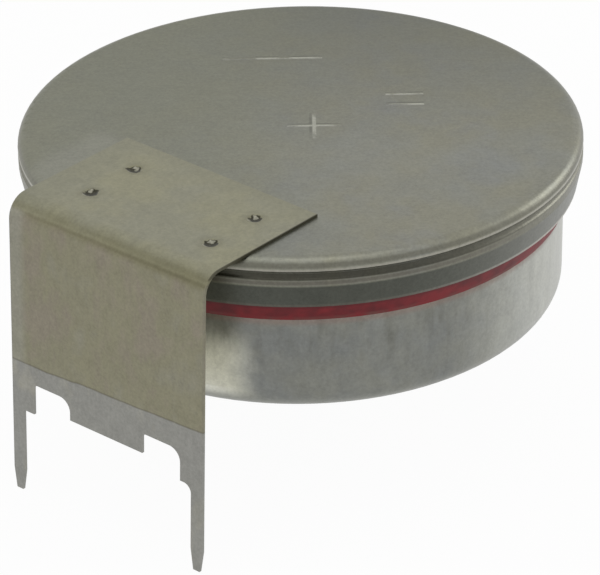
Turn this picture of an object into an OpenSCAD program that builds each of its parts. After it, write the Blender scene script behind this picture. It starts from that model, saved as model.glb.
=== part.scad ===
// Lithium coin cell with solder tabs, for mounting flat above a circuit board.
// Millimetres. The origin is on the board's face, under the middle of the cell, with +Z up.
// The lid is the positive pole and the cup the negative one. The wide tab stands at -Y.

/* [Cell] */
// Height of the closed cell, from the cup's base to the lid's face
cell_h = 7.7; // [7:0.1:9]
// Widest diameter of the lid
lid_d = 24.5; // [24.2:0.1:27]
// Height of the cup's base above the board
standoff = 2; // [1.5:0.1:4]

/* [Lid] */
// Thickness of the lid's sheet
lid_wall = 0.3; // [0.2:0.05:0.35]
// Outside radius of the bend from the face into the rim
rim_r = 0.5; // [0.45:0.05:0.7]
// Distance from the lid's face down to the edge of its skirt
skirt_h = 2.25; // [2:0.05:3]
// How far the skirt's edge is crimped in
crimp = 0.2; // [0.05:0.01:0.25]
// Distance from the lid's face down to where the crimp starts
crimp_start = 1.2; // [0.9:0.05:1.4]
// Depth of the groove rolled in under the rim
groove_depth = 0.1; // [0.05:0.01:0.12]
// Radius of the roll that makes the groove
groove_r = 0.2; // [0.13:0.01:0.22]

/* [Cup] */
// Thickness of the cup's sheet
cup_wall = 0.3; // [0.2:0.05:0.35]
// Gap between the lid's rim and the cup, which the gasket fills
seal_gap = 0.5; // [0.45:0.05:0.8]
// Outside radius round the cup's base
base_r = 1.05; // [0.6:0.05:1.5]

/* [Gasket] */
// Thickness of the gasket between the lid and the cup's rim
web_t = 0.35; // [0.2:0.05:0.5]
// Thickness of the gasket's inner leg
inner_leg_t = 0.3; // [0.2:0.05:0.35]
// Length of the inner leg below the cup's rim
inner_leg_h = 1.6; // [0.8:0.1:2.5]
// Height of the lip that shows under the skirt
lip_h = 0.88; // [0.4:0.02:1.2]
// How far the lip stands out at its foot
lip_foot = 0.12; // [0.05:0.01:0.25]
// How far the lip stands back from the skirt's outer edge
lip_back = 0.1; // [0.02:0.02:0.2]

/* [Contents] */
// Thickness of the lithium disc
lithium_t = 1.6; // [1:0.1:2]
// Gap round the lithium disc, inside the cup's flat base
lithium_gap = 0.1; // [0.05:0.05:0.5]
// Thickness of the separator
separator_t = 0.15; // [0.1:0.05:0.3]
// Height of the separator's upturned edge
separator_h = 3; // [1:0.1:4]
// Running gap between the gasket, the separator's edge and the cathode ring
stack_gap = 0.1; // [0.05:0.05:0.2]
// Thickness of the cathode ring's sheet
ring_t = 0.2; // [0.1:0.05:0.3]
// Height of the cathode ring's wall
ring_h = 4.2; // [2:0.1:4.4]
// Width of the cathode ring's flange
flange_w = 1.2; // [0.6:0.1:2]

/* [Positive tab] */
// Thickness of both tabs' strip
tab_t = 0.12; // [0.1:0.01:0.25]
// Distance between the middles of the two positive pins
pin_pitch = 10.16; // [8:0.01:11]
// Width of every pin
pin_w = 0.65; // [0.5:0.05:0.9]
// Length of every pin below the board's face
pin_l = 4; // [2.5:0.1:5]
// Width of a pin's tip
tip_w = 0.35; // [0.25:0.05:0.45]
// Length of the taper at a pin's tip
tip_l = 1; // [0.5:0.1:1.5]
// Sideways place of the tabs' middle, as welded
tab_x = 0.75; // [-0.8:0.05:0.8]
// Distance from the lid's edge in to the end of the welded flap
flap_l = 6.3; // [5:0.05:7.5]
// Inside radius of the fold
fold_r = 0.85; // [0.8:0.05:1]
// Gap between the widest part of the lid and the folded leg
leg_gap = 0.67; // [0.35:0.01:0.8]
// Angle that the leg leans out from upright
leg_splay = 3.1; // [0:0.1:5]
// Angle that the fold is turned from square across the flap
fold_skew = 1.4; // [0:0.1:3]
// Width of a pin's root above its shoulder
root_w = 1.25; // [1.1:0.05:1.5]
// Width of each slot beside the tongue
slot_w = 2.1; // [1.5:0.05:2.5]
// Height of each slot's top above the board
slot_h = 1.45; // [1:0.05:2]
// Tight radius in a slot's near corner
slot_r_tight = 0.2; // [0.1:0.05:0.3]
// Wide radius in a slot's far corner
slot_r_wide = 0.6; // [0.4:0.05:0.8]
// Height of the tongue's end above the board
tongue_gap = 0.5; // [0.2:0.05:0.8]
// Radius of the shoulder that runs into the right pin
shoulder_r = 0.4; // [0.2:0.05:0.45]

/* [Welds] */
// Distance between the two pairs of weld dents
weld_pair_pitch = 6.8; // [5:0.1:8]
// Distance between the dents of a pair
weld_pitch = 2.7; // [2:0.1:3.2]
// Sideways place of the welds from the tab's middle
weld_x = 0.25; // [-1:0.05:1]
// Distance from the flap's inner end to the first dents
weld_inset = 1.9; // [1:0.05:2.5]
// Width of a weld dent
dent_w = 0.7; // [0.3:0.05:0.8]
// Depth of a weld dent
dent_depth = 0.09; // [0.03:0.01:0.09]

/* [Negative tab] */
// Distance between the positive and the negative pins, along Y
row_pitch = 17.78; // [16:0.01:19]
// Width of the negative tab's strip
neg_w = 4; // [3:0.1:6]
// Length of the strip welded under the cup
neg_l = 8; // [6:0.1:9]
// Inside radius of the negative tab's bend
neg_fold_r = 0.3; // [0.2:0.05:0.5]

/* [Hidden] */
$fn = 96;
slack = 0.01; // how far a cutting shape runs past what it cuts

lid_r = lid_d / 2;
cup_r = lid_r - lid_wall - seal_gap;
top_z = standoff + cell_h;
lid_under_z = top_z - lid_wall;
skirt_z = top_z - skirt_h;
crimp_z = top_z - crimp_start;
groove_z = top_z - rim_r - sqrt(pow(groove_r, 2) - pow(groove_r - groove_depth, 2));
cup_rim_z = lid_under_z - web_t;
leg_in_r = cup_r - cup_wall - inner_leg_t;

lithium_r = cup_r - base_r - lithium_gap;
lithium_z = standoff + cup_wall;
separator_z = lithium_z + lithium_t;
separator_r = leg_in_r - stack_gap;
pellet_z = separator_z + separator_t;
ring_r = separator_r - separator_t - stack_gap;
pellet_r = ring_r - ring_t;

tab_w = pin_pitch + pin_w;
flap_end_y = flap_l - lid_r;
tab_top_z = top_z + tab_t;
fold_out_r = fold_r + tab_t;
fold_y = -(lid_r + leg_gap - fold_r);
fold_z = tab_top_z - fold_out_r;
// Where the leg's outer face starts, out from the fold's axis, and its length down to the board
leg_out = fold_out_r * cos(leg_splay);
leg_z = fold_z + fold_out_r * sin(leg_splay);
leg_l = leg_z / cos(leg_splay);
slot_x = tab_w / 2 - root_w;
weld_y = flap_end_y - weld_inset;

neg_fold_out_r = neg_fold_r + tab_t;
// The negative leg's outer face, one row pitch from the middle of the positive pins' thickness
pins_out = leg_out + leg_l * sin(leg_splay) - tab_t / 2;
pins_y = fold_y - pins_out * cos(fold_skew);
neg_leg_y = pins_y + row_pitch + tab_t / 2;
neg_fold_y = neg_leg_y - neg_fold_out_r;
neg_fold_z = standoff - neg_fold_out_r;

module lid() {
    color([0.62, 0.62, 0.58])
        rotate_extrude()
            lid_section();
}

// Half section of the lid's sheet: face, rim bend, rolled groove and crimped skirt
module lid_section() {
    difference() {
        union() {
            translate([0, lid_under_z])
                square([lid_r - rim_r, lid_wall]);
            intersection() {
                translate([lid_r - rim_r, top_z - rim_r])
                    difference() {
                        circle(rim_r);
                        circle(rim_r - lid_wall);
                    }
                translate([lid_r - rim_r, top_z - rim_r])
                    square(rim_r);
            }
            polygon([
                [lid_r, top_z - rim_r],
                [lid_r - lid_wall, top_z - rim_r],
                [lid_r - lid_wall, crimp_z],
                [lid_r - lid_wall - crimp, skirt_z],
                [lid_r - crimp, skirt_z],
                [lid_r, crimp_z]
            ]);
            intersection() {
                groove_roll(groove_r + lid_wall);
                translate([lid_r - lid_wall - groove_depth, skirt_z])
                    square([lid_wall, lid_under_z - skirt_z]);
            }
        }
        groove_roll(groove_r);
    }
}

// Circle that the roll's edge, or the sheet pushed in by it, follows
module groove_roll(r) {
    translate([lid_r + groove_r - groove_depth, groove_z])
        circle(r);
}

module cup() {
    color([0.60, 0.60, 0.57])
        rotate_extrude()
            cup_section();
}

// Half section of the drawn cup, open at its rim under the lid
module cup_section() {
    corner = [cup_r - base_r, standoff + base_r];
    translate([0, standoff])
        square([cup_r - base_r, cup_wall]);
    intersection() {
        translate(corner)
            difference() {
                circle(base_r);
                circle(base_r - cup_wall);
            }
        translate([cup_r - base_r, standoff])
            square(base_r);
    }
    translate([cup_r - cup_wall, standoff + base_r])
        square([cup_wall, cup_rim_z - standoff - base_r]);
}

module gasket() {
    color([0.62, 0.13, 0.13])
        rotate_extrude()
            gasket_section();
}

// The gasket fills the space between lid and cup, hooks over the cup's rim, and ends in a lip
module gasket_section() {
    difference() {
        polygon([
            [leg_in_r, lid_under_z],
            [lid_r - lid_wall, lid_under_z],
            [lid_r - lid_wall, crimp_z],
            [lid_r - lid_wall - crimp, skirt_z],
            [lid_r - crimp - lip_back, skirt_z],
            [cup_r + lip_foot, skirt_z - lip_h],
            [cup_r - cup_wall / 2, skirt_z - lip_h],
            [cup_r - cup_wall / 2, cup_rim_z - inner_leg_h],
            [leg_in_r, cup_rim_z - inner_leg_h]
        ]);
        translate([lid_r - lid_wall, lid_under_z])
            mirror([1, 0])
                mirror([0, 1])
                    inside_corner(rim_r - lid_wall);
        groove_roll(groove_r + lid_wall);
        translate([cup_r - cup_wall, standoff])
            square([cup_wall, cup_rim_z - standoff]);
    }
}

module lithium_disc() {
    color([0.75, 0.75, 0.78])
        translate([0, 0, lithium_z])
            cylinder(r = lithium_r, h = lithium_t);
}

// Non-woven disc with its edge turned up round the cathode
module separator() {
    color([0.93, 0.93, 0.90])
        translate([0, 0, separator_z])
            difference() {
                cylinder(r = separator_r, h = separator_h);
                translate([0, 0, separator_t])
                    cylinder(r = separator_r - separator_t, h = separator_h);
            }
}

module cathode_ring() {
    color([0.55, 0.55, 0.56])
        translate([0, 0, lid_under_z - ring_h])
            difference() {
                cylinder(r = ring_r, h = ring_h);
                translate([0, 0, -slack])
                    cylinder(r = pellet_r, h = ring_h - ring_t + slack);
                cylinder(r = ring_r - flange_w, h = ring_h + slack);
            }
}

// Pressed pellet, rebated for the ring's flange
module cathode_pellet() {
    color([0.12, 0.12, 0.12])
        translate([0, 0, pellet_z]) {
            cylinder(r = pellet_r, h = lid_under_z - ring_t - pellet_z);
            cylinder(r = ring_r - flange_w, h = lid_under_z - pellet_z);
        }
}

module positive_tab() {
    color([0.58, 0.56, 0.48])
        translate([tab_x, 0, 0]) {
            welded_flap();
            translate([0, fold_y, 0])
                rotate([0, 0, fold_skew]) {
                    translate([0, 0, fold_z])
                        fold(tab_w, fold_r, leg_splay);
                    translate([0, -leg_out, leg_z])
                        rotate([90 - leg_splay, 0, 0])
                            mirror([0, 0, 1])
                                linear_extrude(tab_t)
                                    translate([0, -leg_l])
                                        leg_outline();
                }
        }
}

// Flat part on the lid, with four electrode dents, cut on the skew where the fold starts
module welded_flap() {
    ball_r = (pow(dent_w / 2, 2) + pow(dent_depth, 2)) / (2 * dent_depth);
    skew_x = tab_w / 2 * cos(fold_skew);
    skew_y = tab_w / 2 * sin(fold_skew);
    difference() {
        translate([0, 0, top_z])
            linear_extrude(tab_t)
                polygon([
                    [-skew_x, fold_y - skew_y],
                    [skew_x, fold_y + skew_y],
                    [tab_w / 2, flap_end_y],
                    [-tab_w / 2, flap_end_y]
                ]);
        for (side = [-1, 1], row = [0, 1])
            translate([
                weld_x + side * weld_pair_pitch / 2,
                weld_y - row * weld_pitch,
                tab_top_z - dent_depth + ball_r
            ])
                sphere(ball_r);
    }
}

// Quarter bend of the strip about the X axis, short of a right angle by the splay
module fold(width, inner_r, splay) {
    rotate([180, -90, 0])
        translate([0, 0, -width / 2])
            rotate_extrude(angle = 90 - splay)
                translate([inner_r, 0])
                    square([tab_t, width]);
}

// Stamped outline of the leg and its two pins, with the board's face at Y = 0
module leg_outline() {
    difference() {
        translate([-tab_w / 2, tongue_gap])
            square([tab_w, leg_l - tongue_gap]);
        for (x = [-slot_x, slot_x - slot_w])
            translate([x, tongue_gap - slack])
                slot(slot_h - tongue_gap + slack);
    }
    for (side = [-1, 1])
        translate([side * (tab_w - root_w) / 2, tongue_gap / 2])
            square([root_w, tongue_gap], center = true);
    for (side = [-1, 1])
        translate([side * pin_pitch / 2, 0])
            pin_outline();
    translate([pin_pitch / 2 - pin_w / 2, 0])
        mirror([1, 1])
            inside_corner(shoulder_r);
}

// Open-ended slot with one tight corner and one wide one
module slot(h) {
    difference() {
        square([slot_w, h]);
        translate([0, h])
            mirror([0, 1])
                inside_corner(slot_r_tight);
        translate([slot_w, h])
            mirror([1, 0])
                mirror([0, 1])
                    inside_corner(slot_r_wide);
    }
}

// What a fillet of radius r fills in a square corner at the origin
module inside_corner(r) {
    difference() {
        square(r);
        translate([r, r])
            circle(r);
    }
}

// Flat pin below the board's face, tapered to its tip
module pin_outline() {
    polygon([
        [-pin_w / 2, 0],
        [pin_w / 2, 0],
        [pin_w / 2, tip_l - pin_l],
        [tip_w / 2, -pin_l],
        [-tip_w / 2, -pin_l],
        [-pin_w / 2, tip_l - pin_l]
    ]);
}

module negative_tab() {
    color([0.58, 0.56, 0.48])
        translate([tab_x, 0, 0]) {
            translate([-neg_w / 2, neg_fold_y - neg_l, standoff - tab_t])
                cube([neg_w, neg_l, tab_t]);
            translate([0, neg_fold_y, neg_fold_z])
                mirror([0, 1, 0])
                    fold(neg_w, neg_fold_r, 0);
            translate([0, neg_leg_y, 0])
                rotate([90, 0, 0])
                    linear_extrude(tab_t) {
                        translate([-neg_w / 2, 0])
                            square([neg_w, neg_fold_z]);
                        pin_outline();
                    }
        }
}

lid();
gasket();
cup();
cathode_ring();
cathode_pellet();
separator();
lithium_disc();
positive_tab();
negative_tab();
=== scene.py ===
import math

import bpy
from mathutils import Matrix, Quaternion, Vector


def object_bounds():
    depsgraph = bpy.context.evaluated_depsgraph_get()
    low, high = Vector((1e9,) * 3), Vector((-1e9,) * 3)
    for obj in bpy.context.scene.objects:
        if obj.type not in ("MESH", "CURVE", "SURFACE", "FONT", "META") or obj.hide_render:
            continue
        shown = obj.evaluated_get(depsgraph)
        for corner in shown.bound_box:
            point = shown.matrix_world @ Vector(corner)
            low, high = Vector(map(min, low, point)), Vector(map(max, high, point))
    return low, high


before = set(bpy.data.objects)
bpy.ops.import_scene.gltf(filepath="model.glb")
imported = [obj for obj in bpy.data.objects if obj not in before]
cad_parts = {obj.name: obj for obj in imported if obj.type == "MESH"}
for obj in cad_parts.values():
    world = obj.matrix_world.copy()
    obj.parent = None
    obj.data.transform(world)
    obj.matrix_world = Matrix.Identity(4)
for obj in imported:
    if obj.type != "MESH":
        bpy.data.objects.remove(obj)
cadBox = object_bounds()
mm = 0.001
scene = bpy.context.scene
print("frame loaded")


# Shared helpers for colours, nodes and materials. Patterns are worked out in millimetres.

def linearColour(hexText):
    channels = [int(hexText[i:i + 2], 16) / 255 for i in (1, 3, 5)]
    linear = [c / 12.92 if c <= 0.04045 else ((c + 0.055) / 1.055) ** 2.4 for c in channels]
    return (*linear, 1.0)


def addNode(tree, kind, links=None, **settings):
    node = tree.nodes.new(kind)
    for name, value in settings.items():
        setattr(node, name, value)
    for socket, value in (links or {}).items():
        if isinstance(value, bpy.types.NodeSocket):
            tree.links.new(value, node.inputs[socket])
        else:
            node.inputs[socket].default_value = value
    return node


def newMaterial(name):
    material = bpy.data.materials.new(name)
    material.use_nodes = True
    material.node_tree.nodes.clear()
    return material, material.node_tree


def placeInMm(tree):
    metres = addNode(tree, "ShaderNodeTexCoord").outputs["Object"]
    scaled = addNode(tree, "ShaderNodeVectorMath", {0: metres, "Scale": 1 / mm}, operation="SCALE")
    return scaled.outputs[0]


def dress(nodeName, material):
    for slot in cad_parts[nodeName].material_slots:
        slot.material = material


def joinMasks(tree, operation, masks):
    joined = masks[0]
    for mask in masks[1:]:
        joined = addNode(tree, "ShaderNodeMath", {0: joined, 1: mask},
                         operation=operation).outputs[0]
    return joined


def allOf(tree, *masks):
    return joinMasks(tree, "MULTIPLY", masks)


def anyOf(tree, *masks):
    return joinMasks(tree, "MAXIMUM", masks)


def band(tree, value, low, high, soft):
    # 1 between low and high, falling to 0 over soft on both sides
    rise = addNode(tree, "ShaderNodeMapRange",
                   {"Value": value, "From Min": low - soft, "From Max": low},
                   interpolation_type="SMOOTHSTEP")
    fall = addNode(tree, "ShaderNodeMapRange",
                   {"Value": value, "From Min": high, "From Max": high + soft,
                    "To Min": 1.0, "To Max": 0.0},
                   interpolation_type="SMOOTHSTEP")
    return allOf(tree, rise.outputs[0], fall.outputs[0])


def layer(tree, below, above, mask, strength=1.0):
    # lays a colour, written as hex or made by nodes, over another where the mask is 1
    colour = linearColour(above) if isinstance(above, str) else above
    mix = addNode(tree, "ShaderNodeMix",
                  {"Factor": allOf(tree, mask, strength), "A": below, "B": colour},
                  data_type="RGBA")
    return mix.outputs["Result"]


# Camera at the photograph's viewpoint

cameraView = {
    "target": (8.642 * mm, -9.904 * mm, 9.0 * mm),
    "distance": 136.07 * mm,
    "azimuth": 41.7,
    "elevation": 29.8,
    "roll": -1.016,
    "lens": 203.8,
    "sensor": 36.0,
    "clipStart": 5 * mm,
    "clipEnd": 5000 * mm,
}


def directionTo(azimuth, elevation):
    turn = math.radians(azimuth)
    lift = math.radians(elevation)
    flat = math.cos(lift)
    return Vector((math.sin(turn) * flat, -math.cos(turn) * flat, math.sin(lift)))


def addCamera(view):
    back = directionTo(view["azimuth"], view["elevation"])
    data = bpy.data.cameras.new("camera")
    data.lens = view["lens"]
    data.sensor_width = view["sensor"]
    data.clip_start = view["clipStart"]
    data.clip_end = view["clipEnd"]
    camera = bpy.data.objects.new("camera", data)
    camera.rotation_mode = "QUATERNION"
    camera.location = Vector(view["target"]) + back * view["distance"]
    roll = Quaternion((0, 0, 1), math.radians(view["roll"]))
    camera.rotation_quaternion = (-back).to_track_quat("-Z", "Y") @ roll
    scene.collection.objects.link(camera)
    scene.camera = camera


addCamera(cameraView)
scene.view_settings.view_transform = "Standard"
print("camera placed")


# Studio: white background, pale floor that keeps the shadow, and soft lamps

studio = {
    "white": (1, 1, 1, 1),
    "ambient": 0.62,
    "floorSize": 900 * mm,
    "floorGap": 0.005 * mm,  # under the lowest pin
    "floorColour": "#f4f4f2",
    "floorWhite": 0.96,  # share of plain white that the camera sees, the rest is the lit card
}

# place in degrees, distance and size in millimetres
lamps = {
    "keyLamp": {"azimuth": 158, "elevation": 24, "distance": 260, "size": 120, "radiance": 2.6},
    "fillLamp": {"azimuth": -35, "elevation": 26, "distance": 260, "size": 120, "radiance": 0.4},
    "topLamp": {"azimuth": 20, "elevation": 85, "distance": 280, "size": 140, "radiance": 1.2},
}


def showsBackground(tree):
    path = addNode(tree, "ShaderNodeLightPath").outputs
    return anyOf(tree, path["Is Camera Ray"], path["Is Glossy Ray"], path["Is Transmission Ray"])


def addWorld(setup):
    world = bpy.data.worlds.new("studioWorld")
    world.use_nodes = True
    scene.world = world
    tree = world.node_tree
    tree.nodes.clear()
    soft, white = [addNode(tree, "ShaderNodeBackground",
                           {"Color": setup["white"], "Strength": strength}).outputs[0]
                   for strength in (setup["ambient"], 1.0)]
    mix = addNode(tree, "ShaderNodeMixShader", {0: showsBackground(tree), 1: soft, 2: white})
    addNode(tree, "ShaderNodeOutputWorld", {"Surface": mix.outputs[0]})


def addFloor(setup):
    # matt card that takes the shadow and lights the part, shown nearly white to the camera
    bpy.ops.object.select_all(action="DESELECT")
    bpy.ops.mesh.primitive_plane_add(size=setup["floorSize"],
                                     location=(0, 0, cadBox[0].z - setup["floorGap"]))
    floor = bpy.context.object
    floor.name = "floor"
    material, tree = newMaterial("paleStudioFloor")
    card = addNode(tree, "ShaderNodeBsdfDiffuse", {"Color": linearColour(setup["floorColour"])})
    white = addNode(tree, "ShaderNodeEmission", {"Color": setup["white"], "Strength": 1.0})
    share = allOf(tree, showsBackground(tree), setup["floorWhite"])
    mix = addNode(tree, "ShaderNodeMixShader",
                  {0: share, 1: card.outputs[0], 2: white.outputs[0]})
    addNode(tree, "ShaderNodeOutputMaterial", {"Surface": mix.outputs[0]})
    floor.data.materials.append(material)


def addLamp(name, spec):
    back = directionTo(spec["azimuth"], spec["elevation"])
    data = bpy.data.lights.new(name, "AREA")
    data.shape = "SQUARE"
    data.size = spec["size"] * mm
    data.energy = spec["radiance"] * math.pi * data.size ** 2
    lamp = bpy.data.objects.new(name, data)
    lamp.rotation_mode = "QUATERNION"
    lamp.location = back * spec["distance"] * mm
    lamp.rotation_quaternion = (-back).to_track_quat("-Z", "Y")
    scene.collection.objects.link(lamp)


addWorld(studio)
addFloor(studio)
for lampName, lampSpec in lamps.items():
    addLamp(lampName, lampSpec)
print("studio lit")


# Nickel-plated steel, the start of every steel finish here. The plating is satin and grey, drifts
# between a warm and a cool tone, and carries the fine lines of rolling or drawing. The real grain
# and lines are finer than the render can show, so both are drawn as coarse as they need to show.

plating = {
    "cloud": {"Detail": 3.0, "Roughness": 0.6},
    "blotch": {"Detail": 4.0, "Roughness": 0.65},
    "grain": {"Detail": 2.0, "Roughness": 0.7},
    "line": {"Detail": 3.0},
    "driftRange": {"From Min": 0.38, "From Max": 0.62},
    "glossRange": {"From Min": 0.3, "From Max": 0.7},
    "glossSpread": 0.05,
}


def startPlating(name, finish):
    # finish holds the two tones, the patterns' sizes in millimetres and how far each shades them
    material, tree = newMaterial(name)
    place = placeInMm(tree)
    patterns = {}
    for part in ("cloud", "blotch", "grain"):
        noise = addNode(tree, "ShaderNodeTexNoise",
                        {"Vector": place, "Scale": 1 / finish[part + "Size"], **plating[part]})
        patterns[part] = noise.outputs["Fac"]
    turned = addNode(tree, "ShaderNodeMapping",
                     {"Vector": place, "Rotation": (0, 0, -math.radians(finish["lineAngle"]))})
    stretched = addNode(tree, "ShaderNodeMapping",
                        {"Vector": turned.outputs[0],
                         "Scale": [1 / size for size in finish["lineSize"]]})
    lines = addNode(tree, "ShaderNodeTexNoise",
                    {"Vector": stretched.outputs[0], "Scale": 1.0, **plating["line"]})
    patterns["line"] = lines.outputs["Fac"]
    drift = addNode(tree, "ShaderNodeMapRange",
                    {"Value": patterns["cloud"], **plating["driftRange"]})
    tone = layer(tree, linearColour(finish["warmTone"]), finish["coolTone"], drift.outputs[0])
    shade = 1 - (finish["blotchDepth"] + finish["lineDepth"] + finish["grainDepth"]) / 2
    for part in ("blotch", "line", "grain"):
        shade = addNode(tree, "ShaderNodeMath",
                        {0: patterns[part], 1: finish[part + "Depth"], 2: shade},
                        operation="MULTIPLY_ADD").outputs[0]
    gloss = addNode(tree, "ShaderNodeMapRange",
                    {"Value": patterns["blotch"], **plating["glossRange"],
                     "To Min": finish["roughness"] - plating["glossSpread"],
                     "To Max": finish["roughness"] + plating["glossSpread"]})
    steel = {
        "tree": tree,
        "place": place,
        "axes": addNode(tree, "ShaderNodeSeparateXYZ", {0: place}).outputs,
        "clouds": patterns["cloud"],
        "blotches": patterns["blotch"],
        "colour": tone,
        "shade": shade,
        "gloss": gloss.outputs[0],
        "relief": allOf(tree, patterns["line"], finish["lineRelief"]),
    }
    return material, steel


def addCoats(steel, looks, coats):
    # lays each named colour of the looks, at its strength, over the steel where its mask is 1
    for name, mask in coats.items():
        colour, strength = looks[name]
        steel["colour"] = layer(steel["tree"], steel["colour"], colour, mask, strength)


def turnedAxes(steel, angle):
    turned = addNode(steel["tree"], "ShaderNodeMapping",
                     {"Vector": steel["place"], "Rotation": (0, 0, -math.radians(angle))})
    return addNode(steel["tree"], "ShaderNodeSeparateXYZ", {0: turned.outputs[0]}).outputs


def finishPlating(steel):
    tree = steel["tree"]
    base = addNode(tree, "ShaderNodeVectorMath", {0: steel["colour"], "Scale": steel["shade"]},
                   operation="SCALE")
    bump = addNode(tree, "ShaderNodeBump",
                   {"Height": steel["relief"], "Strength": 1.0, "Distance": mm})
    shader = addNode(tree, "ShaderNodeBsdfPrincipled",
                     {"Base Color": base.outputs[0], "Metallic": 1.0, "Roughness": steel["gloss"],
                      "Normal": bump.outputs[0]})
    addNode(tree, "ShaderNodeOutputMaterial", {"Surface": shader.outputs[0]})


# Lid: drawn from nickel-plated strip. The face is dulled by handling and darkens in painted shade
# towards the far end; the rim's widest line carries a painted highlight, and the rolled groove,
# the bead and the crimped skirt carry painted shade, darker in front than at the sides.

lidFinish = {
    "warmTone": "#828173",
    "coolTone": "#7f8078",
    "cloudSize": 4.2,
    "blotchSize": 1.1,
    "blotchDepth": 0.35,
    "grainSize": 0.13,
    "grainDepth": 0.5,
    "lineAngle": 41.7,
    "lineSize": (0.7, 0.16, 0.5),
    "lineDepth": 0.15,
    "lineRelief": 0.004,
    "roughness": 0.4,
    "turn": 41.7,  # the sides and the far end below are counted from this angle
    # colour and strength of each coat, and where it lies
    "bluePatch": ("#797c80", 0.3),
    "patchShift": (31.0, 7.0, 3.0),
    "patches": {"Detail": 4.0, "Roughness": 0.6},
    "patchRange": {"From Min": 0.5, "From Max": 0.68},
    # painted shade: the lid's face darkens towards the far side
    "paintedFarShade": ("#4f5145", 0.6),
    "paintedFarShadeReach": {"From Min": -3.0, "From Max": 13.0},
    "leftOlive": ("#767768", 0.7),
    "leftReach": {"From Min": 3.0, "From Max": -6.0},
    "besideTab": ("#86867b", 0.6),
    "besideTabX": (-5.6, -4.0, 1.0),
    "besideTabY": (-20.0, -6.6, 1.0),
    "faceZ": 9.7,
    "faceDepth": (-0.1, 0.05, 0.02),
    # where the rim's painted shading turns from the darker front tone to the lighter side tone
    "paintedLitSideReach": {"From Min": -12.5, "From Max": -6.0},
    # painted shade and highlight on the rim, lit and shaded copies of the plating: tone in front,
    # lighter tone at the sides, depth below the face from and to, softness, strength
    "rimBands": {
        # painted shade on the crimped skirt, dark in front
        "skirt": ("#4b4d47", "#787973", 1.27, 2.4, 0.14, 0.95),
        # painted shade where the rim bends over
        "bend": ("#68675d", "#77766c", 0.22, 0.31, 0.09, 0.75),
        # painted highlight along the rim's widest line
        "paintedRimHighlight": ("#9a988e", "#b2b0a6", 0.44, 0.51, 0.07, 0.8),
        # painted shade in the rolled groove
        "groove": ("#3a3932", "#7a796f", 0.66, 0.86, 0.1, 0.9),
        # painted shade on the bead, lighter at the sides
        "bead": ("#615e57", "#838278", 1.0, 1.08, 0.1, 0.8),
        # painted highlight on the skirt's lower edge at the sides
        "skirtEdge": ("#5b5851", "#b5b2aa", 2.17, 2.4, 0.07, 0.8),
    },
}

# A stamped plus for the pole and three plain rules, about the lid's middle, coloured as a painted
# highlight with a painted shadow beside each stroke
lidMarks = {
    "stroke": 0.1,
    "softness": 0.06,
    "depth": 0.02,
    # painted highlight on the stamped strokes
    "tone": ("#a3a398", 0.8),
    "shadow": ("#55564d", 0.5),
    "shadowDrop": -0.13,
    "wear": {"From Min": 0.42, "From Max": 0.56, "To Min": 0.1},
    "plusPlace": (0.6, -0.3),
    "plusArm": 1.15,
    "rules": [(-1.2, 6.4, 2.2), (4.6, 2.6, 0.8), (4.6, 1.6, 0.8)],  # middle and half length
}


def markMask(tree, flat, marks, drop):
    thin, arm, soft = marks["stroke"] / 2, marks["plusArm"], marks["softness"]
    x, y = marks["plusPlace"]
    strokes = [(x, y - drop, arm, thin), (x + drop, y, thin, arm)]
    strokes += [(x, y - drop, length, thin) for x, y, length in marks["rules"]]
    return anyOf(tree, *[allOf(tree,
                               band(tree, flat["X"], x - wide, x + wide, soft),
                               band(tree, flat["Y"], y - tall, y + tall, soft))
                         for x, y, wide, tall in strokes])


def addMarks(steel, flat, face, marks):
    tree = steel["tree"]
    worn = addNode(tree, "ShaderNodeMapRange",
                   {"Value": steel["blotches"], **marks["wear"]}).outputs[0]
    light = allOf(tree, markMask(tree, flat, marks, 0.0), face)
    shadow = allOf(tree, markMask(tree, flat, marks, marks["shadowDrop"]), face)
    addCoats(steel, marks, {"shadow": allOf(tree, shadow, worn), "tone": allOf(tree, light, worn)})
    steel["relief"] = addNode(tree, "ShaderNodeMath",
                              {0: light, 1: -marks["depth"], 2: steel["relief"]},
                              operation="MULTIPLY_ADD").outputs[0]


def addRim(steel, flat, depth, finish):
    tree = steel["tree"]
    side = addNode(tree, "ShaderNodeMapRange", {"Value": flat["Y"], **finish["paintedLitSideReach"]},
                   interpolation_type="SMOOTHSTEP").outputs[0]
    # each band is painted shade or highlight, a darker tone in front and a lighter one at the
    # sides
    for frontTone, paintedLitSideTone, start, end, soft, strength in finish["rimBands"].values():
        tone = layer(tree, linearColour(frontTone), paintedLitSideTone, side)
        steel["colour"] = layer(tree, steel["colour"], tone,
                                band(tree, depth, start, end, soft), strength)


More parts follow.
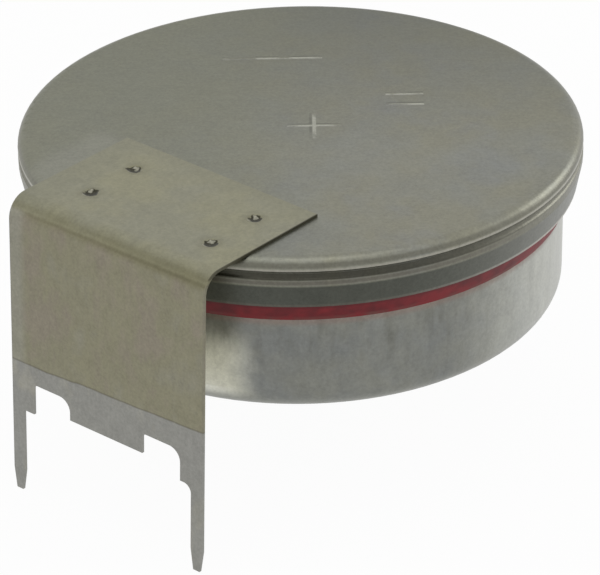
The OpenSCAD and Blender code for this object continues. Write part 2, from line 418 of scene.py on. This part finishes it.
def lidMaterial(finish, marks):
    material, steel = startPlating("nickelPlatedLid", finish)
    tree, axes = steel["tree"], steel["axes"]
    flat = turnedAxes(steel, finish["turn"])
    depth = addNode(tree, "ShaderNodeMath", {0: finish["faceZ"], 1: axes["Z"]},
                    operation="SUBTRACT").outputs[0]
    moved = addNode(tree, "ShaderNodeVectorMath", {0: steel["place"], 1: finish["patchShift"]},
                    operation="ADD")
    drift = addNode(tree, "ShaderNodeTexNoise",
                    {"Vector": moved.outputs[0], "Scale": 1 / finish["cloudSize"],
                     **finish["patches"]})
    patch = addNode(tree, "ShaderNodeMapRange",
                    {"Value": drift.outputs["Fac"], **finish["patchRange"]},
                    interpolation_type="SMOOTHSTEP")
    # painted shade, growing towards the far side of the face
    far = addNode(tree, "ShaderNodeMapRange", {"Value": flat["Y"], **finish["paintedFarShadeReach"]})
    left = addNode(tree, "ShaderNodeMapRange", {"Value": flat["X"], **finish["leftReach"]},
                   interpolation_type="SMOOTHSTEP")
    beside = allOf(tree, band(tree, axes["X"], *finish["besideTabX"]),
                   band(tree, axes["Y"], *finish["besideTabY"]))
    addCoats(steel, finish, {
        "bluePatch": patch.outputs[0],
        "paintedFarShade": far.outputs[0],
        "leftOlive": left.outputs[0],
        "besideTab": beside,
    })
    addMarks(steel, flat, band(tree, depth, *finish["faceDepth"]), marks)
    addRim(steel, flat, depth, finish)
    finishPlating(steel)
    return material


dress("lid", lidMaterial(lidFinish, lidMarks))
print("lid finished")


# Cup: deep drawn, so the plating carries faint upright draw marks, and a pale painted reflection
# beside the tab

cupFinish = {
    "warmTone": "#80817a",
    "coolTone": "#7a7c79",
    "cloudSize": 2.2,
    "blotchSize": 0.7,
    "blotchDepth": 0.45,
    "grainSize": 0.15,
    "grainDepth": 0.4,
    "lineAngle": 0.0,
    "lineSize": (0.4, 0.4, 2.5),
    "lineDepth": 0.25,
    "lineRelief": 0.004,
    "roughness": 0.38,
    "turn": 41.7,
    # colour and strength of each coat, and where it lies: from, to and softness
    # painted reflection: a pale patch on the cup beside the tab
    "paintedReflectionTone": ("#f1f1e4", 0.9),
    "paintedReflectionX": (1.0, 5.0, 2.0),
    "paintedReflectionRagged": 1.2,
    "paintedReflectionLowZ": (3.3, 9.0, 1.1),
    "paintedReflectionHighZ": (-1.0, 4.2, 2.1),
    "stain": ("#605f56", 0.35),
    "stainSize": (0.5, 0.5, 1.6),
    "stains": {"Detail": 4.0},
    "stainRange": {"From Min": 0.5, "From Max": 0.68},
    "stainZ": (5.2, 7.0, 1.6),
    # painted highlight: the cup's plating grows lighter towards its right side
    "paintedLitSideTone": ("#c4c5be", 0.7),
    "paintedLitSideReach": {"From Min": 5.5, "From Max": 11.0},
    # painted reflection of the red gasket on the cup's top
    "paintedGasketReflection": ("#86736a", 0.55),  # the gasket's colour shows in the plating beside it
    "paintedGasketReflectionZ": (6.42, 9.0, 0.3),
    "footTone": ("#8a8b84", 0.7),
    "footZ": (1.0, 2.3, 0.6),
}


def cupMaterial(finish):
    material, steel = startPlating("nickelPlatedCup", finish)
    tree, axes = steel["tree"], steel["axes"]
    across = turnedAxes(steel, finish["turn"])["X"]
    front = addNode(tree, "ShaderNodeMath", {0: axes["Y"], 1: 0.0},
                    operation="LESS_THAN").outputs[0]  # the wide tab's side of the cell
    ragged = addNode(tree, "ShaderNodeMath",
                     {0: steel["clouds"], 1: finish["paintedReflectionRagged"], 2: axes["X"]},
                     operation="MULTIPLY_ADD").outputs[0]
    # painted reflection beside the tab, with a ragged outline
    paintedReflection = allOf(tree, band(tree, ragged, *finish["paintedReflectionX"]), front,
                  band(tree, axes["Z"], *finish["paintedReflectionLowZ"]),
                  band(tree, axes["Z"], *finish["paintedReflectionHighZ"]))
    runs = addNode(tree, "ShaderNodeMapping",
                   {"Vector": steel["place"], "Scale": [1 / size for size in finish["stainSize"]]})
    streaks = addNode(tree, "ShaderNodeTexNoise",
                      {"Vector": runs.outputs[0], "Scale": 1.0, **finish["stains"]})
    stained = addNode(tree, "ShaderNodeMapRange",
                      {"Value": streaks.outputs["Fac"], **finish["stainRange"]}).outputs[0]
    # painted highlight growing towards the cup's right side
    side = addNode(tree, "ShaderNodeMapRange", {"Value": across, **finish["paintedLitSideReach"]},
                   interpolation_type="SMOOTHSTEP")
    addCoats(steel, finish, {
        "paintedReflectionTone": paintedReflection,
        "stain": allOf(tree, stained, band(tree, axes["Z"], *finish["stainZ"])),
        "paintedLitSideTone": side.outputs[0],
        "paintedGasketReflection": band(tree, axes["Z"], *finish["paintedGasketReflectionZ"]),
        "footTone": band(tree, axes["Z"], *finish["footZ"]),
    })
    finishPlating(steel)
    return material


dress("cup", cupMaterial(cupFinish))
print("cup finished")


# Gasket: deep red moulded polypropylene, matt, a little dusty, with painted shadow where it goes
# in under the skirt

gasketFinish = {
    "red": "#801f26",
    "deepRed": "#5f171d",
    "mottleSize": 0.8,
    "mottle": {"Detail": 4.0},
    "mottleRange": {"From Min": 0.35, "From Max": 0.65},
    # painted shadow under the lid's skirt
    "paintedSkirtShadow": 0.8,
    "paintedSkirtShadowZ": (7.33, 8.45, 0.15),
    "dustTone": "#7a5048",
    "dust": 0.5,
    "dustZ": (5.57, 6.67, 0.15),
    "relief": 0.01 * mm,
    "roughness": 0.55,
    "ior": 1.49,
    "shine": 0.25,
}


def gasketMaterial(finish):
    material, tree = newMaterial("mouldedRedPolypropylene")
    place = placeInMm(tree)
    height = addNode(tree, "ShaderNodeSeparateXYZ", {0: place}).outputs["Z"]
    mottle = addNode(tree, "ShaderNodeTexNoise",
                     {"Vector": place, "Scale": 1 / finish["mottleSize"],
                      **finish["mottle"]}).outputs["Fac"]
    spread = addNode(tree, "ShaderNodeMapRange",
                     {"Value": mottle, **finish["mottleRange"]}).outputs[0]
    colour = layer(tree, linearColour(finish["red"]), finish["deepRed"], spread)
    # painted shadow where the gasket goes in under the skirt
    colour = layer(tree, colour, finish["deepRed"],
                   band(tree, height, *finish["paintedSkirtShadowZ"]), finish["paintedSkirtShadow"])
    dusty = allOf(tree, band(tree, height, *finish["dustZ"]), spread)
    colour = layer(tree, colour, finish["dustTone"], dusty, finish["dust"])
    relief = addNode(tree, "ShaderNodeBump",
                     {"Height": mottle, "Strength": 1.0, "Distance": finish["relief"]})
    shader = addNode(tree, "ShaderNodeBsdfPrincipled",
                     {"Base Color": colour, "Roughness": finish["roughness"],
                      "IOR": finish["ior"], "Specular IOR Level": finish["shine"],
                      "Normal": relief.outputs[0]})
    addNode(tree, "ShaderNodeOutputMaterial", {"Surface": shader.outputs[0]})
    return material


dress("gasket", gasketMaterial(gasketFinish))
print("gasket finished")


# Tabs: nickel-plated strip, warmer than the cell. Rolling lines run along it, the fold carries
# painted shade with a darker painted line in it, the welds are burnt and their dents carry painted
# shade and a painted highlight, the edges carry painted shade, the faces turned to the cup carry
# painted light, and the pins are dipped in tin.

tabFinish = {
    "warmTone": "#8a8872",
    "coolTone": "#868574",
    "cloudSize": 3.2,
    "blotchSize": 0.7,
    "blotchDepth": 0.4,
    "grainSize": 0.13,
    "grainDepth": 0.45,
    "lineAngle": 0.0,
    "lineSize": (0.25, 0.9, 0.9),
    "lineDepth": 0.18,
    "lineRelief": 0.003,
    "roughness": 0.4,
    "faceZ": 9.82,
    "streakShift": (11.0, 5.0, 3.0),
    "streakSize": (2.0, 10 / 3, 10 / 3),
    "streaks": {"Detail": 4.0, "Roughness": 0.6},
    "pinkRange": {"From Min": 0.5, "From Max": 0.62},
    "paleRange": {"From Min": 0.46, "From Max": 0.34},
    # colour and strength of each coat, and where it lies: from, to and softness
    "legZ": (-6.54, 9.3, 0.2),
    "legOlive": ("#86836f", 0.85),
    "legPink": ("#888075", 0.6),
    "legPale": ("#8a887a", 0.7),
    # painted shade on the fold, stronger towards its right end
    "paintedFoldShadeFade": {"From Min": -4.0, "From Max": 4.0, "To Min": 0.6},
    "paintedFoldShade": ("#6c6952", 0.7),
    "paintedFoldShadeZ": (9.32, 9.54, 0.28),
    "paintedFoldLineShade": ("#5b5845", 0.5),
    "paintedFoldLineShadeZ": (9.35, 9.37, 0.1),
    "leftPale": ("#908f84", 0.7),
    "leftPaleX": (-5.655, -4.205, 0.6),
    # painted shade along the leg's left edge
    "leftEdge": ("#6f7276", 0.5),
    "leftEdgeX": (-5.655, -4.625, 0.05),
    "dulled": ("#82816f", 0.7),
    "dulledX": (-5.655, -4.055, 1.5),
    "dulledY": (-6.15, 9.0, 1.0),
    "flapZ": (9.7, 99.0, 0.1),
    "rightEdge": ("#7e7b6d", 0.5),
    # painted shade on the leg's right side face
    "rightEdgeX": (6.125, 7.155, 0.03),
    # painted shade on the flap's cut edge
    "cutEdge": ("#3e3c32", 0.75),
    "cutEdgeZ": (9.62, 10.82, 0.1),
    # the tin's upper edge slopes and wavers a little
    "tinSlope": 0.037,
    "tinWaver": 0.25,
    "tinTone": ("#8e8e8a", 0.9),
    "tinZ": (-9.0, 2.56, 0.05),
    "tinPale": ("#9a988d", 0.7),
    "tinLine": ("#57544a", 0.45),
    "tinLineZ": (2.58, 2.61, 0.05),
    # painted light on the faces turned towards the cup
    "paintedInnerLight": ("#d6d4c8", 0.85),
    "paintedInnerLightRange": {"From Min": 0.3, "From Max": 0.8},
}

weldMarks = {
    "places": [(-2.4, -7.85), (-2.4, -10.55), (4.4, -7.85), (4.4, -10.55)],
    "raggedSize": 0.25,
    "ragged": {"Detail": 2.0},
    "raggedMiddle": (0.5, 0.5, 0.5),  # what the noise swings about
    "raggedReach": (0.45, 0.45, 0.0),
    "slant": (0.665, -0.747),
    "farShift": -0.14,
    # colour and strength of each ring, and how far from its middle it lies
    "tint": ("#757360", 0.5),
    "tintReach": (-1.0, 0.35, 0.35),
    # weld burn and painted shade round the dent
    "burntAndPaintedShade": ("#29271e", 0.9),
    "burntAndPaintedShadeReach": (-1.0, 0.27, 0.07),
    # painted highlight on the dent's far side
    "paintedDentHighlight": ("#b9b7a6", 0.55),
    "paintedDentHighlightReach": (-1.0, 0.1, 0.08),
}


def addWelds(steel, marks, faceZ):
    # a ragged ring of weld burn and painted shade round each dent, with a painted highlight
    # shifted to its far side
    tree = steel["tree"]
    noise = addNode(tree, "ShaderNodeTexNoise",
                    {"Vector": steel["place"], "Scale": 1 / marks["raggedSize"],
                     **marks["ragged"]})
    swing = addNode(tree, "ShaderNodeVectorMath",
                    {0: noise.outputs["Color"], 1: marks["raggedMiddle"]}, operation="SUBTRACT")
    place = addNode(tree, "ShaderNodeVectorMath",
                    {0: swing.outputs[0], 1: marks["raggedReach"], 2: steel["place"]},
                    operation="MULTIPLY_ADD").outputs[0]
    for x, y in marks["places"]:
        for ring, shift in (("tint", 0.0), ("burntAndPaintedShade", 0.0), ("paintedDentHighlight", marks["farShift"])):
            middle = (x + marks["slant"][0] * shift, y + marks["slant"][1] * shift, faceZ)
            reach = addNode(tree, "ShaderNodeVectorMath", {0: place, 1: middle},
                            operation="DISTANCE").outputs["Value"]
            addCoats(steel, marks, {ring: band(tree, reach, *marks[ring + "Reach"])})


def addWideTabCoats(steel, finish, streaks, pale):
    tree, axes = steel["tree"], steel["axes"]
    leg = band(tree, axes["Z"], *finish["legZ"])
    pink = addNode(tree, "ShaderNodeMapRange",
                   {"Value": streaks, **finish["pinkRange"]}).outputs[0]
    right = addNode(tree, "ShaderNodeMapRange",
                    {"Value": axes["X"], **finish["paintedFoldShadeFade"]}).outputs[0]
    dulled = anyOf(tree, band(tree, axes["X"], *finish["dulledX"]),
                   band(tree, axes["Y"], *finish["dulledY"]))
    edge = band(tree, axes["X"], *finish["rightEdgeX"])
    addCoats(steel, finish, {
        "legOlive": leg,
        "legPink": allOf(tree, pink, leg),
        "legPale": allOf(tree, pale, leg),
        # painted shade in the fold, with a darker painted line
        "paintedFoldShade": allOf(tree, band(tree, axes["Z"], *finish["paintedFoldShadeZ"]), right),
        "paintedFoldLineShade": allOf(tree, band(tree, axes["Z"], *finish["paintedFoldLineShadeZ"]), right),
        "leftPale": allOf(tree, band(tree, axes["X"], *finish["leftPaleX"]), leg),
        "leftEdge": allOf(tree, band(tree, axes["X"], *finish["leftEdgeX"]), leg),
        "dulled": allOf(tree, dulled, band(tree, axes["Z"], *finish["flapZ"])),
        "rightEdge": allOf(tree, edge, leg),
        "cutEdge": allOf(tree, edge, band(tree, axes["Z"], *finish["cutEdgeZ"])),
    })


def addTin(steel, finish, pale):
    # dipped tin on the pins, with a dark line at its upper edge
    tree, axes = steel["tree"], steel["axes"]
    wavy = addNode(tree, "ShaderNodeMath",
                   {0: steel["clouds"], 1: finish["tinWaver"], 2: axes["Z"]},
                   operation="MULTIPLY_ADD")
    level = addNode(tree, "ShaderNodeMath",
                    {0: axes["X"], 1: -finish["tinSlope"], 2: wavy.outputs[0]},
                    operation="MULTIPLY_ADD").outputs[0]
    tinned = band(tree, level, *finish["tinZ"])
    addCoats(steel, finish, {
        "tinTone": tinned,
        "tinPale": allOf(tree, pale, tinned),
        "tinLine": band(tree, level, *finish["tinLineZ"]),
    })


def tabMaterial(name, finish, marks=None):
    material, steel = startPlating(name, finish)
    tree = steel["tree"]
    moved = addNode(tree, "ShaderNodeMapping",
                    {"Vector": steel["place"], "Location": finish["streakShift"],
                     "Scale": [1 / size for size in finish["streakSize"]]})
    streaks = addNode(tree, "ShaderNodeTexNoise",
                      {"Vector": moved.outputs[0], "Scale": 1.0,
                       **finish["streaks"]}).outputs["Fac"]
    pale = addNode(tree, "ShaderNodeMapRange",
                   {"Value": streaks, **finish["paleRange"]}).outputs[0]
    if marks:
        addWideTabCoats(steel, finish, streaks, pale)
        addWelds(steel, marks, finish["faceZ"])
    addTin(steel, finish, pale)
    # painted light on the faces turned towards the cup, along +Y
    normal = addNode(tree, "ShaderNodeNewGeometry").outputs["True Normal"]
    facing = addNode(tree, "ShaderNodeSeparateXYZ", {0: normal}).outputs["Y"]
    inner = addNode(tree, "ShaderNodeMapRange", {"Value": facing, **finish["paintedInnerLightRange"]})
    addCoats(steel, finish, {"paintedInnerLight": inner.outputs[0]})
    finishPlating(steel)
    return material


dress("positive_tab", tabMaterial("nickelPlatedStrip", tabFinish, weldMarks))
dress("negative_tab", tabMaterial("nickelPlatedStripBelow", tabFinish))
print("tabs finished")


# Inside the cell. Ring: stamped from the cup's plated steel, a little cooler and smoother, because
# nothing has handled it.

ringFinish = dict(cupFinish, warmTone="#8b8b86", coolTone="#85878a", roughness=0.32)


def ringMaterial(finish):
    material, steel = startPlating("nickelPlatedRing", finish)
    finishPlating(steel)
    return material


dress("cathode_ring", ringMaterial(ringFinish))


# Cathode: pressed manganese dioxide and carbon, matt black with a powdery grit

cathodeFinish = {
    "black": "#1d1c1b",
    "grey": "#34322f",
    "gritSize": 0.25,
    "grit": {"Detail": 5.0},
    "relief": 0.03 * mm,
    "roughness": 0.85,
}


def cathodeMaterial(finish):
    material, tree = newMaterial("pressedManganeseDioxide")
    grit = addNode(tree, "ShaderNodeTexNoise",
                   {"Vector": placeInMm(tree), "Scale": 1 / finish["gritSize"],
                    **finish["grit"]}).outputs["Fac"]
    colour = layer(tree, linearColour(finish["black"]), finish["grey"], grit)
    relief = addNode(tree, "ShaderNodeBump", {"Height": grit, "Distance": finish["relief"]})
    shader = addNode(tree, "ShaderNodeBsdfPrincipled",
                     {"Base Color": colour, "Roughness": finish["roughness"],
                      "Normal": relief.outputs[0]})
    addNode(tree, "ShaderNodeOutputMaterial", {"Surface": shader.outputs[0]})
    return material


dress("cathode_pellet", cathodeMaterial(cathodeFinish))


# Separator: non-woven polypropylene, white and matt, with short fibres lying every way, drawn
# thicker than the real ones so that they show

feltFinish = {
    "white": "#ecebe4",
    "grey": "#cfcec4",
    "fibreWidth": 0.15,
    "fibreLength": 0.9,
    "fibres": {"Detail": 4.0},
    "fibreRange": {"From Min": 0.4, "From Max": 0.7},
    "relief": 0.05 * mm,
    "roughness": 0.95,
}


def feltMaterial(finish):
    material, tree = newMaterial("nonWovenSeparator")
    place = placeInMm(tree)
    wide, long = 1 / finish["fibreWidth"], 1 / finish["fibreLength"]
    fibres = 0.0
    for scale in ((wide, long, wide), (long, wide, wide)):
        laid = addNode(tree, "ShaderNodeMapping", {"Vector": place, "Scale": scale})
        strands = addNode(tree, "ShaderNodeTexNoise",
                          {"Vector": laid.outputs[0], "Scale": 1.0, **finish["fibres"]})
        fibres = anyOf(tree, strands.outputs["Fac"], fibres)
    spread = addNode(tree, "ShaderNodeMapRange", {"Value": fibres, **finish["fibreRange"]})
    colour = layer(tree, linearColour(finish["grey"]), finish["white"], spread.outputs[0])
    relief = addNode(tree, "ShaderNodeBump", {"Height": fibres, "Distance": finish["relief"]})
    shader = addNode(tree, "ShaderNodeBsdfPrincipled",
                     {"Base Color": colour, "Roughness": finish["roughness"],
                      "Normal": relief.outputs[0]})
    addNode(tree, "ShaderNodeOutputMaterial", {"Surface": shader.outputs[0]})
    return material


dress("separator", feltMaterial(feltFinish))


# Lithium: rolled foil, silvery and soft, with a duller skin in patches

lithiumFinish = {
    "pale": "#b9bbc0",
    "dull": "#9a9a9e",
    "skinSize": 1.4,
    "skin": {"Detail": 4.0},
    "smoothest": 0.35,
    "roughest": 0.6,
}


def lithiumMaterial(finish):
    material, tree = newMaterial("rolledLithium")
    skin = addNode(tree, "ShaderNodeTexNoise",
                   {"Vector": placeInMm(tree), "Scale": 1 / finish["skinSize"],
                    **finish["skin"]}).outputs["Fac"]
    colour = layer(tree, linearColour(finish["pale"]), finish["dull"], skin)
    gloss = addNode(tree, "ShaderNodeMapRange",
                    {"Value": skin, "To Min": finish["smoothest"], "To Max": finish["roughest"]})
    shader = addNode(tree, "ShaderNodeBsdfPrincipled",
                     {"Base Color": colour, "Metallic": 1.0, "Roughness": gloss.outputs[0]})
    addNode(tree, "ShaderNodeOutputMaterial", {"Surface": shader.outputs[0]})
    return material


dress("lithium_disc", lithiumMaterial(lithiumFinish))
print("inner pieces finished")
